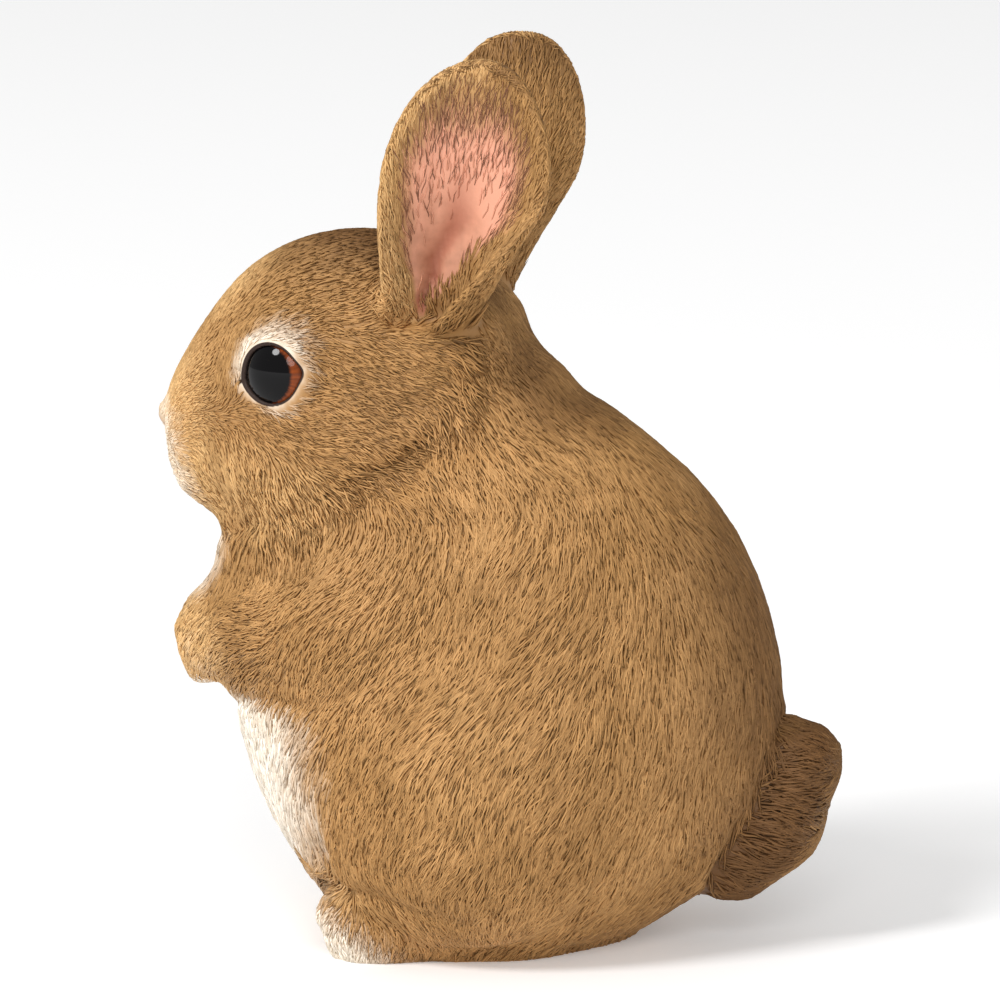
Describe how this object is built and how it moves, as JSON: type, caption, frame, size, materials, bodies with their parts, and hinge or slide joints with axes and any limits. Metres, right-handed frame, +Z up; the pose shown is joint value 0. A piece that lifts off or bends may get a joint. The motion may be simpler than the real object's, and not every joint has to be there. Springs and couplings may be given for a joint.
{
  "type": "sitting rabbit ornament, painted cast resin",
  "caption": "Small cast resin ornament of a young rabbit sitting upright on its haunches, ears raised and forepaws held to the chest, with carved and painted fur and inset glass eyes.",
  "frame": {"origin": "middle of the bounding box at the level of the soles and the underside of the rump", "axes": "+Z up; the rabbit faces -Y; its left side is +X"},
  "size_m": [0.0838, 0.1114, 0.1445],
  "materials": {
    "painted_fur": "cast resin, carved fur, washed and dry-brushed in tan and brown, matt varnish",
    "painted_ear": "cast resin, furry back, smooth pink inside with brown hair lines, matt varnish",
    "painted_nose": "cast resin, grey-pink paint, matt varnish",
    "glass_eye": "polished glass lens over a dark pupil and an amber-brown iris"
  },
  "bodies": {
    "root": {"head": "painted_fur", "neck": "painted_fur", "trunk": "painted_fur", "tail": "painted_fur", "ear_left": "painted_ear", "ear_right": "painted_ear", "eye_left": "glass_eye", "eye_right": "glass_eye", "nose": "painted_nose", "foreleg_left": "painted_fur", "foreleg_right": "painted_fur", "hind_leg_left": "painted_fur", "hind_leg_right": "painted_fur", "hind_foot_left": "painted_fur", "hind_foot_right": "painted_fur"}
  },
  "joints": []
}
